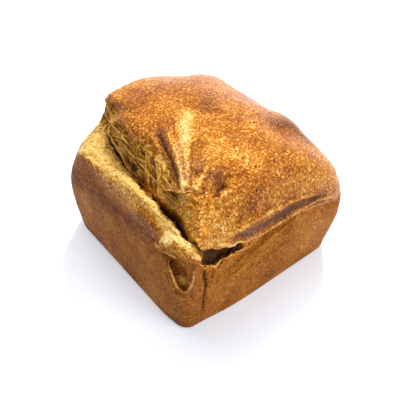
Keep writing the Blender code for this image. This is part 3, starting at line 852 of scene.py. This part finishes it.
# The threads and the fluff lie about their middle, the pores shade the ledge alone, and
# the painted shade darkens the crumb in the cleft and under the lid's lip.
threaded = (fibres, -THREAD_CONTRAST, THREAD_CONTRAST / 2 + THREAD_SHADE)
threaded = add(tree, "Math", threaded, operation="MULTIPLY_ADD")
holes = add(tree, "Math", (walls, -PORE_SHADE, PORE_SHADE), operation="MULTIPLY_ADD")
on_ledge = add(tree, "Math", (1.0, on_side), operation="SUBTRACT")
fluffed, darkened = (fluff, -FLUFF_CONTRAST), (shaded, DEEP_SHADE)
for part, share in ((threaded, on_side), fluffed, darkened, (holes, on_ledge)):
    baked = add(tree, "Math", (part, share, baked), operation="MULTIPLY_ADD")
brown = add(tree, "Math", (baked, FLUFF_CONTRAST / 2), operation="ADD", use_clamp=True)
tone = add(tree, "ValToRGB", (brown,), CRUMB_SHADES)
bump = add(tree, "Bump", {"Height": texture, "Strength": 0.9, "Distance": 0.6 * MM})
feed(tree, shader, {"Base Color": tone, "Normal": bump, "Roughness": 0.85})
feed(tree, shader, {"Specular IOR Level": 0.15})

for finish in (top_crust, crumb_finish, side_crust):
    loaf_mesh.materials.append(finish)
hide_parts("loaf")
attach(loaf, "root")

# The tear left shreds: strands of crumb that gave last, along the side of the lid and over
# both edges of the cleft. Each is a thread of dried dough that tapers to its two ends and
# bows a little off the crumb it clings to.
STRAND_STEPS = 7
STRAND_SIDES = 6
STRAND_SWAY = 0.05
BOW_SPREAD = (0.5, 1.3)
STRAND_SPOTS = (
    # First and last ring and turn, how many, length, thickness and bow, and how far each
    # turns from the line of the tear.
    ((LIP + 0.1, CRUST_EDGE - 0.4), (-0.12, 0.86), 44, (8.0, 24.0), (0.4, 0.95), 0.07, 0.04),
    ((LIP - 0.5, LIP + 0.3), (-0.1, 0.98), 26, (4.0, 10.0), (0.3, 0.7), 0.15, 0.25),
    ((CRUST_EDGE - 0.4, CRUST_EDGE), (-0.1, 0.85), 14, (3.0, 8.0), (0.35, 0.7), 0.2, 0.35),
    ((LEDGE - 0.25, LEDGE + 0.35), (-0.1, 1.05), 90, (1.6, 4.5), (0.3, 0.7), 0.3, 0.9),
)


def sites_mesh(name, places, layers):
    """A mesh of loose points, with a value or direction at each for every layer."""
    mesh = bpy.data.meshes.new(name)
    mesh.from_pydata([tuple(place) for place in places], [], [])
    for layer, values in layers.items():
        values = np.asarray(values, np.float32)
        kind, key = ("FLOAT", "value") if values.ndim == 1 else ("FLOAT_VECTOR", "vector")
        mesh.attributes.new(layer, kind, "POINT").data.foreach_set(key, values.ravel())
    return mesh


def node_tree(name, inputs):
    """An empty node tree with sites, named inputs and an output, and its input sockets."""
    tree = bpy.data.node_groups.new(name, "GeometryNodeTree")
    tree.interface.new_socket("Sites", in_out="INPUT", socket_type="NodeSocketGeometry")
    for socket_name, kind in inputs.items():
        tree.interface.new_socket(socket_name, in_out="INPUT", socket_type=kind)
    tree.interface.new_socket("Pieces", in_out="OUTPUT", socket_type="NodeSocketGeometry")
    return tree, add(tree, "NodeGroupInput").outputs


def laid_on_sites(tree, sites, shape, size):
    """A shape on every site, turned to lie along its own line in the surface, and scaled."""
    rise, lie = (
        add(tree, "GeometryNodeInputNamedAttribute", {"Name": layer}, data_type="FLOAT_VECTOR")
        for layer in ("rise", "lie")
    )
    axes = {"primary_axis": "Z", "secondary_axis": "X"}
    turned = add(tree, "FunctionNodeAxesToRotation", (rise, lie), **axes)
    laid = {"Points": sites, "Instance": shape, "Rotation": turned, "Scale": size}
    return add(tree, "GeometryNodeInstanceOnPoints", laid)


def end_tree(tree, pieces, material):
    """Makes the pieces real and gives them their material."""
    real = add(tree, "GeometryNodeRealizeInstances", (pieces,))
    finished = {"Geometry": real, "Material": material}
    add(tree, "NodeGroupOutput", (add(tree, "GeometryNodeSetMaterial", finished),))


def piece_from(name, sites, tree, inputs):
    """Runs a node tree on the sites, and keeps what it makes as one plain mesh piece."""
    maker = new_object(name + "_sites", sites)
    modifier = maker.modifiers.new(name, "NODES")
    modifier.node_group = tree
    for socket in tree.interface.items_tree:
        if socket.in_out == "INPUT" and socket.name in inputs:
            modifier[socket.identifier] = inputs[socket.name]
    graph = bpy.context.evaluated_depsgraph_get()
    mesh = bpy.data.meshes.new_from_object(maker.evaluated_get(graph))
    mesh.name = name
    bpy.data.objects.remove(maker, do_unlink=True)
    piece = new_object(name, mesh)
    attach(piece, "root")


def mottled_finish(name, pattern, stops, surface, relief=None):
    """A finish mottled by one noise, which also raises it where a relief is given."""
    finish, tree, shader, place = finish_of(name)
    mottles = add(tree, "TexNoise", {"Vector": place, **pattern})
    tone = add(tree, "ValToRGB", (mottles,), stops)
    feed(tree, shader, {"Base Color": tone, **surface})
    if relief:
        feed(tree, shader, {"Normal": add(tree, "Bump", {"Height": mottles, **relief})})
    return finish


lie = unit(np.roll(surface, -1, axis=1) - np.roll(surface, 1, axis=1))
places, lies, rises, lengths, thicks, bows = [], [], [], [], [], []
for (low, high), (first, last), count, long, thick, bow, swing in STRAND_SPOTS:
    row_ok = (ring_at >= low) & (ring_at <= high)
    lap_ok = (lap >= first) & (lap <= last)
    open_spots = np.flatnonzero((row_ok & lap_ok & (tear > 0.5)).ravel())
    for spot in random.choice(open_spots, count, replace=False):
        row, column = divmod(int(spot), COLUMNS)
        rise = normals[row, column]
        ahead = lie[row, column]
        across = np.cross(rise, ahead)
        angle = random.normal(0.0, swing)
        length = random.uniform(*long)
        places.append(surface[row, column] * MM)
        lies.append(ahead * math.cos(angle) + across * math.sin(angle))
        rises.append(rise)
        lengths.append(length * MM)
        thicks.append(random.uniform(*thick) * MM)
        bows.append(bow * random.uniform(*BOW_SPREAD))

# Dried dough. To the eye: matte, golden where it is thin and brown where it toasted.
STRAND_PATTERN = 5.0
strand_finish = mottled_finish(
    "dried strands of torn dough",
    {"Scale": 1 / (STRAND_PATTERN * MM), "Detail": 3.0, "Roughness": 0.7},
    ((0.25, "66400F"), (0.42, "A06C1C"), (0.55, "C28C2C"), (0.72, "E0B455")),
    {"Roughness": 0.75},
)

sizes = {"Steps": "NodeSocketInt", "Sides": "NodeSocketInt"}
tree, given = node_tree("strands along the tear", {**sizes, "Strand": "NodeSocketMaterial"})
arc = {"Start": (-0.5, 0.0, 0.0), "Middle": (0.0, STRAND_SWAY, 1.0), "End": (0.5, 0.0, 0.0)}
arc = add(tree, "GeometryNodeCurveQuadraticBezier", {"Resolution": given["Steps"], **arc})
long, bow, thick = (
    add(tree, "GeometryNodeInputNamedAttribute", {"Name": layer}, data_type="FLOAT")
    for layer in ("length", "bow", "thick")
)
bowed = add(tree, "Math", (long, bow), operation="MULTIPLY")
stretched = add(tree, "CombineXYZ", (long, long, bowed))
strands = laid_on_sites(tree, given["Sites"], arc, stretched)
real = add(tree, "GeometryNodeRealizeInstances", (strands,))

# The taper is 0 at both ends of a strand and 1 at its middle.
along_it = add(tree, "GeometryNodeSplineParameter")
rest_of_it = add(tree, "Math", (1.0, along_it), operation="SUBTRACT")
taper = add(tree, "Math", (along_it, rest_of_it), operation="MULTIPLY")
taper = add(tree, "Math", (taper, 3.9, 0.01), operation="MULTIPLY_ADD")
taper = add(tree, "Math", (taper, 0.6), operation="POWER")
thinned = add(tree, "Math", (taper, thick), operation="MULTIPLY")
circle = {"Resolution": given["Sides"], "Radius": 1.0}
circle = add(tree, "GeometryNodeCurvePrimitiveCircle", circle)
tube = {"Curve": real, "Profile Curve": circle, "Scale": thinned, "Fill Caps": True}
tube = add(tree, "GeometryNodeCurveToMesh", tube)
smooth = add(tree, "GeometryNodeSetShadeSmooth", {0: tube, "Shade Smooth": True})
end_tree(tree, smooth, given["Strand"])
layers = {"lie": lies, "rise": rises, "length": lengths, "thick": thicks, "bow": bows}
inputs = {"Steps": STRAND_STEPS, "Sides": STRAND_SIDES, "Strand": strand_finish}
piece_from("torn_strands", sites_mesh("strand sites", places, layers), tree, inputs)

# The tear left strips of crust too: skin of the dome that dried, stretched and curled away
# from the crumb. Each is a thin strip, with its route, its width at the middle, the way it
# faces and how far it curls.
SKINS = (
    (
        ((-32, 66, 108), (-39, 46, 102), (-45, 31, 100),
         (-48, 22, 99), (-50, 14, 94), (-52, 4, 91)),
        4.6, (-0.8, 0.0, 0.6), 0.7,
    ),
    (
        ((-53, -1, 87), (-55, -7, 91), (-54, -13, 94), (-53, -19, 96)),
        6.5, (-0.5, -0.2, 0.8), 1.8,
    ),
    (
        ((-53, -28, 109), (-50, -33, 112), (-47, -38, 113), (-44, -43, 113), (-40, -49, 113)),
        4.2, (-0.6, 0.3, 0.8), 1.4,
    ),
    (
        ((-36, 33, 112), (-40, 18, 114), (-42, 6, 116)),
        2.0, (-0.8, 0.0, 0.6), 0.9,
    ),
    (
        ((-73, -44, 87), (-74, -51, 89), (-73, -59, 86), (-71, -63, 82)),
        3.4, (-0.7, -0.4, 0.2), 1.1,
    ),
    (
        ((-70, -56, 78), (-70, -60, 67), (-70, -63, 58), (-68, -66, 51),
         (-66, -69, 52), (-64, -72, 62), (-63, -73, 72), (-63, -73, 80)),
        2.2, (-0.75, -0.65, 0.1), 0.7,
    ),
)
SKIN_THICKNESS = 0.5
SKIN_STANDS_OFF = 0.9
SKIN_WAVES = 0.3
SKIN_TATTERS = 0.35
SKIN_STEPS = 40
SKIN_RING = 14


def smoothed(line, rounds):
    """A line of points made smoother, with its ends held."""
    for _ in range(rounds):
        line[1:-1] = (line[:-2] + 2 * line[1:-1] + line[2:]) / 4
    return line


finder = kdtree.KDTree(rows * COLUMNS)
for index, spot in enumerate(surface.reshape(-1, 3)):
    finder.insert(spot, index)
finder.balance()
skin_vertices, skin_faces = [], []
for route, width, facing, curl in SKINS:
    knots = np.array(route, float)
    at = np.linspace(0, len(knots) - 1, SKIN_STEPS)
    line = np.column_stack([np.interp(at, np.arange(len(knots)), knots[:, k]) for k in range(3)])
    found = [finder.find(spot)[1] for spot in smoothed(line, 6)]
    line = surface.reshape(-1, 3)[found] + SKIN_STANDS_OFF * normals.reshape(-1, 3)[found]
    line = smoothed(line, 3)
    forward = unit(np.gradient(line, axis=0))
    across = unit(np.cross(forward, unit(np.array(facing))))
    out_of = np.cross(across, forward)
    share = np.linspace(0.0, 1.0, SKIN_STEPS)
    half = width / 2 * np.sin(np.pi * np.clip(share, 0.03, 0.97)) ** 0.5
    half = half * (1 + SKIN_TATTERS * lumps(line, 3.0))
    base = len(skin_vertices)
    for k in range(SKIN_STEPS):
        loop = []
        for s in np.linspace(-1, 1, SKIN_RING // 2):
            lift = curl * s * s + SKIN_WAVES * math.sin(3 * s + 9 * share[k])
            loop.append(line[k] + across[k] * half[k] * s + out_of[k] * lift)
        under = [spot - out_of[k] * SKIN_THICKNESS for spot in reversed(loop)]
        skin_vertices += [tuple(spot * MM) for spot in loop + under]
    for k in range(SKIN_STEPS - 1):
        low = base + k * SKIN_RING
        high = low + SKIN_RING
        for c in range(SKIN_RING):
            d = (c + 1) % SKIN_RING
            skin_faces.append((low + c, low + d, high + d, high + c))
    skin_faces.append(tuple(base + c for c in reversed(range(SKIN_RING))))
    skin_faces.append(tuple(base + (SKIN_STEPS - 1) * SKIN_RING + c for c in range(SKIN_RING)))
skin_mesh = bpy.data.meshes.new("torn_skin")
skin_mesh.from_pydata(skin_vertices, [], skin_faces)
skin_mesh.shade_smooth()
torn_skin = new_object("torn_skin", skin_mesh)

# Dried skin of the crust. To the eye: leathery, orange brown, with pale flaking edges.
SKIN_PATTERN = 2.2
skin_finish = mottled_finish(
    "dried curled crust skin",
    {"Scale": 1 / (SKIN_PATTERN * MM), "Detail": 3.0, "Roughness": 0.6},
    ((0.3, "8A4A14"), (0.45, "BC7420"), (0.6, "D99A3C"), (0.75, "EDC070")),
    {"Roughness": 0.5},
    {"Strength": 0.8, "Distance": 0.4 * MM},
)
skin_mesh.materials.append(skin_finish)
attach(torn_skin, "root")

# Bran: dark flakes of wheat husk from the flour, baked into the crust and the crumb. Most
# are about a millimetre long, and they lie flat in the surface. The ones seen in the crust
# are placed singly, with their length, and are drawn 1.3 times as long so that they show.
BRAN_SEEN = (
    (30, -21, 113, 1.8), (4, -52, 113, 1.6), (-4, -64, 105, 1.5), (25, -10, 115, 1.3),
    (1, -44, 116, 1.2), (-30, -67, 102, 1.3), (-30, -9, 121, 1.3), (-5, -74, 40, 1.6),
    (-71, -27, 24, 1.8), (-70, -42, 13, 1.9), (-68, 13, 89, 1.6), (-72, 49, 57, 1.4),
    (-72, 1, 52, 1.2), (-61, 17, 95, 1.2), (-40, -22, 118, 1.0), (-41, -58, 112, 1.1),
)
BRAN_DRAWN = 1.3
BRAN_SCATTERED = 110
BRAN_FINEST = (0.5, 1.2)
BRAN_ABOVE_FOOT = 4.0
BRAN_WIDTH = 0.55
BRAN_THICKNESS = 0.3
spots = [finder.find(place[:3])[1] for place in BRAN_SEEN]
sizes = [BRAN_DRAWN * place[3] for place in BRAN_SEEN]
in_light = (surface[:, :, 2] > BRAN_ABOVE_FOOT) & (painted_shade < 0.3)
spots += random.choice(np.flatnonzero(in_light.ravel()), BRAN_SCATTERED, replace=False).tolist()
sizes += random.uniform(*BRAN_FINEST, BRAN_SCATTERED).tolist()
spots = np.array(spots)
places = surface.reshape(-1, 3)[spots] * MM
rises = normals.reshape(-1, 3)[spots]
lies = np.cross(rises, random.normal(size=(len(spots), 3)))

# Wheat husk. To the eye: nearly black brown, matte, and mottled.
BRAN_PATTERN = 3.0
bran_finish = mottled_finish(
    "dark wheat bran",
    {"Scale": 1 / (BRAN_PATTERN * MM)},
    ((0.35, "1A100B"), (0.65, "3D2514")),
    {"Roughness": 0.9, "Specular IOR Level": 0.1},
)

sizes_given = {"Width": "NodeSocketFloat", "Thickness": "NodeSocketFloat"}
tree, given = node_tree("bran in the surface", {**sizes_given, "Bran": "NodeSocketMaterial"})
flake = add(tree, "GeometryNodeMeshIcoSphere", {"Radius": 0.5, "Subdivisions": 2})
long = add(tree, "GeometryNodeInputNamedAttribute", {"Name": "length"}, data_type="FLOAT")
width = add(tree, "Math", (long, given["Width"]), operation="MULTIPLY")
depth = add(tree, "Math", (long, given["Thickness"]), operation="MULTIPLY")
flat = add(tree, "CombineXYZ", (long, width, depth))
end_tree(tree, laid_on_sites(tree, given["Sites"], flake, flat), given["Bran"])
layers = {"lie": lies, "rise": rises, "length": np.array(sizes) * MM}
inputs = {"Width": BRAN_WIDTH, "Thickness": BRAN_THICKNESS, "Bran": bran_finish}
piece_from("bran_flecks", sites_mesh("bran sites", places, layers), tree, inputs)

# The floor is a white table top, lit evenly from under its surface as for a catalogue. To
# the eye: an even, matte, faintly cool white that takes only soft shade.
bpy.ops.mesh.primitive_plane_add(size=6.0, location=(0, 0, 0))
floor = bpy.context.object
floor.name = "floor"
table_finish, tree, shader, _ = finish_of("lit white table top")
feed(tree, shader, {"Base Color": colour("EDF2F8"), "Roughness": 0.9})
feed(tree, shader, {"Emission Color": colour("F4F7FF"), "Emission Strength": 0.33})
floor.data.materials.append(table_finish)

# Soft studio light: a white room, a small softbox behind the loaf on the right, for the
# glints of the crust, a wide one overhead, for the ledge of crumb, and one in front, for
# the front wall. Each has its place and width in metres and its power in watts.
SOFTBOXES = (
    ("softbox on the right", (0.5, 0.38, 0.75), 0.3, 12.5),
    ("softbox overhead", (-0.05, 0.3, 1.05), 0.7, 4.8),
    ("softbox in front", (0.35, -0.95, 0.5), 0.6, 6.5),
)
SOFTBOX_AIM = (0.0, 0.0, 0.05)
scene = bpy.context.scene
scene.view_settings.view_transform = "Standard"
world = bpy.data.worlds.new("white studio")
scene.world = world
world.use_nodes = True
room = world.node_tree.nodes["Background"]
feed(world.node_tree, room, {"Color": colour("F4F7FF"), "Strength": 0.42})
for name, place, size, power in SOFTBOXES:
    lamp = bpy.data.lights.new(name, "AREA")
    lamp.size = size
    lamp.energy = power
    softbox = new_object(name, lamp)
    softbox.location = place
    aim = Vector(SOFTBOX_AIM) - softbox.location
    softbox.rotation_euler = aim.to_track_quat("-Z", "Y").to_euler()

# The camera stands at the photograph's viewing angle.
CAMERA_AZIMUTH = math.radians(-38.3)
CAMERA_ELEVATION = math.radians(49.2)
CAMERA_DISTANCE = 631.0
CAMERA_TARGET = (-2.9, -3.1, 40.0)
CAMERA_LENS = 76.5
lens = bpy.data.cameras.new("camera")
lens.lens = CAMERA_LENS
lens.clip_start = 0.01
lens.clip_end = 10.0
camera = new_object("camera", lens)
level = math.cos(CAMERA_ELEVATION)
back_x = math.sin(CAMERA_AZIMUTH) * level
back_y = -math.cos(CAMERA_AZIMUTH) * level
back = Vector((back_x, back_y, math.sin(CAMERA_ELEVATION)))
camera.location = (Vector(CAMERA_TARGET) + back * CAMERA_DISTANCE) * MM
camera.rotation_euler = (-back).to_track_quat("-Z", "Y").to_euler()
scene.camera = camera
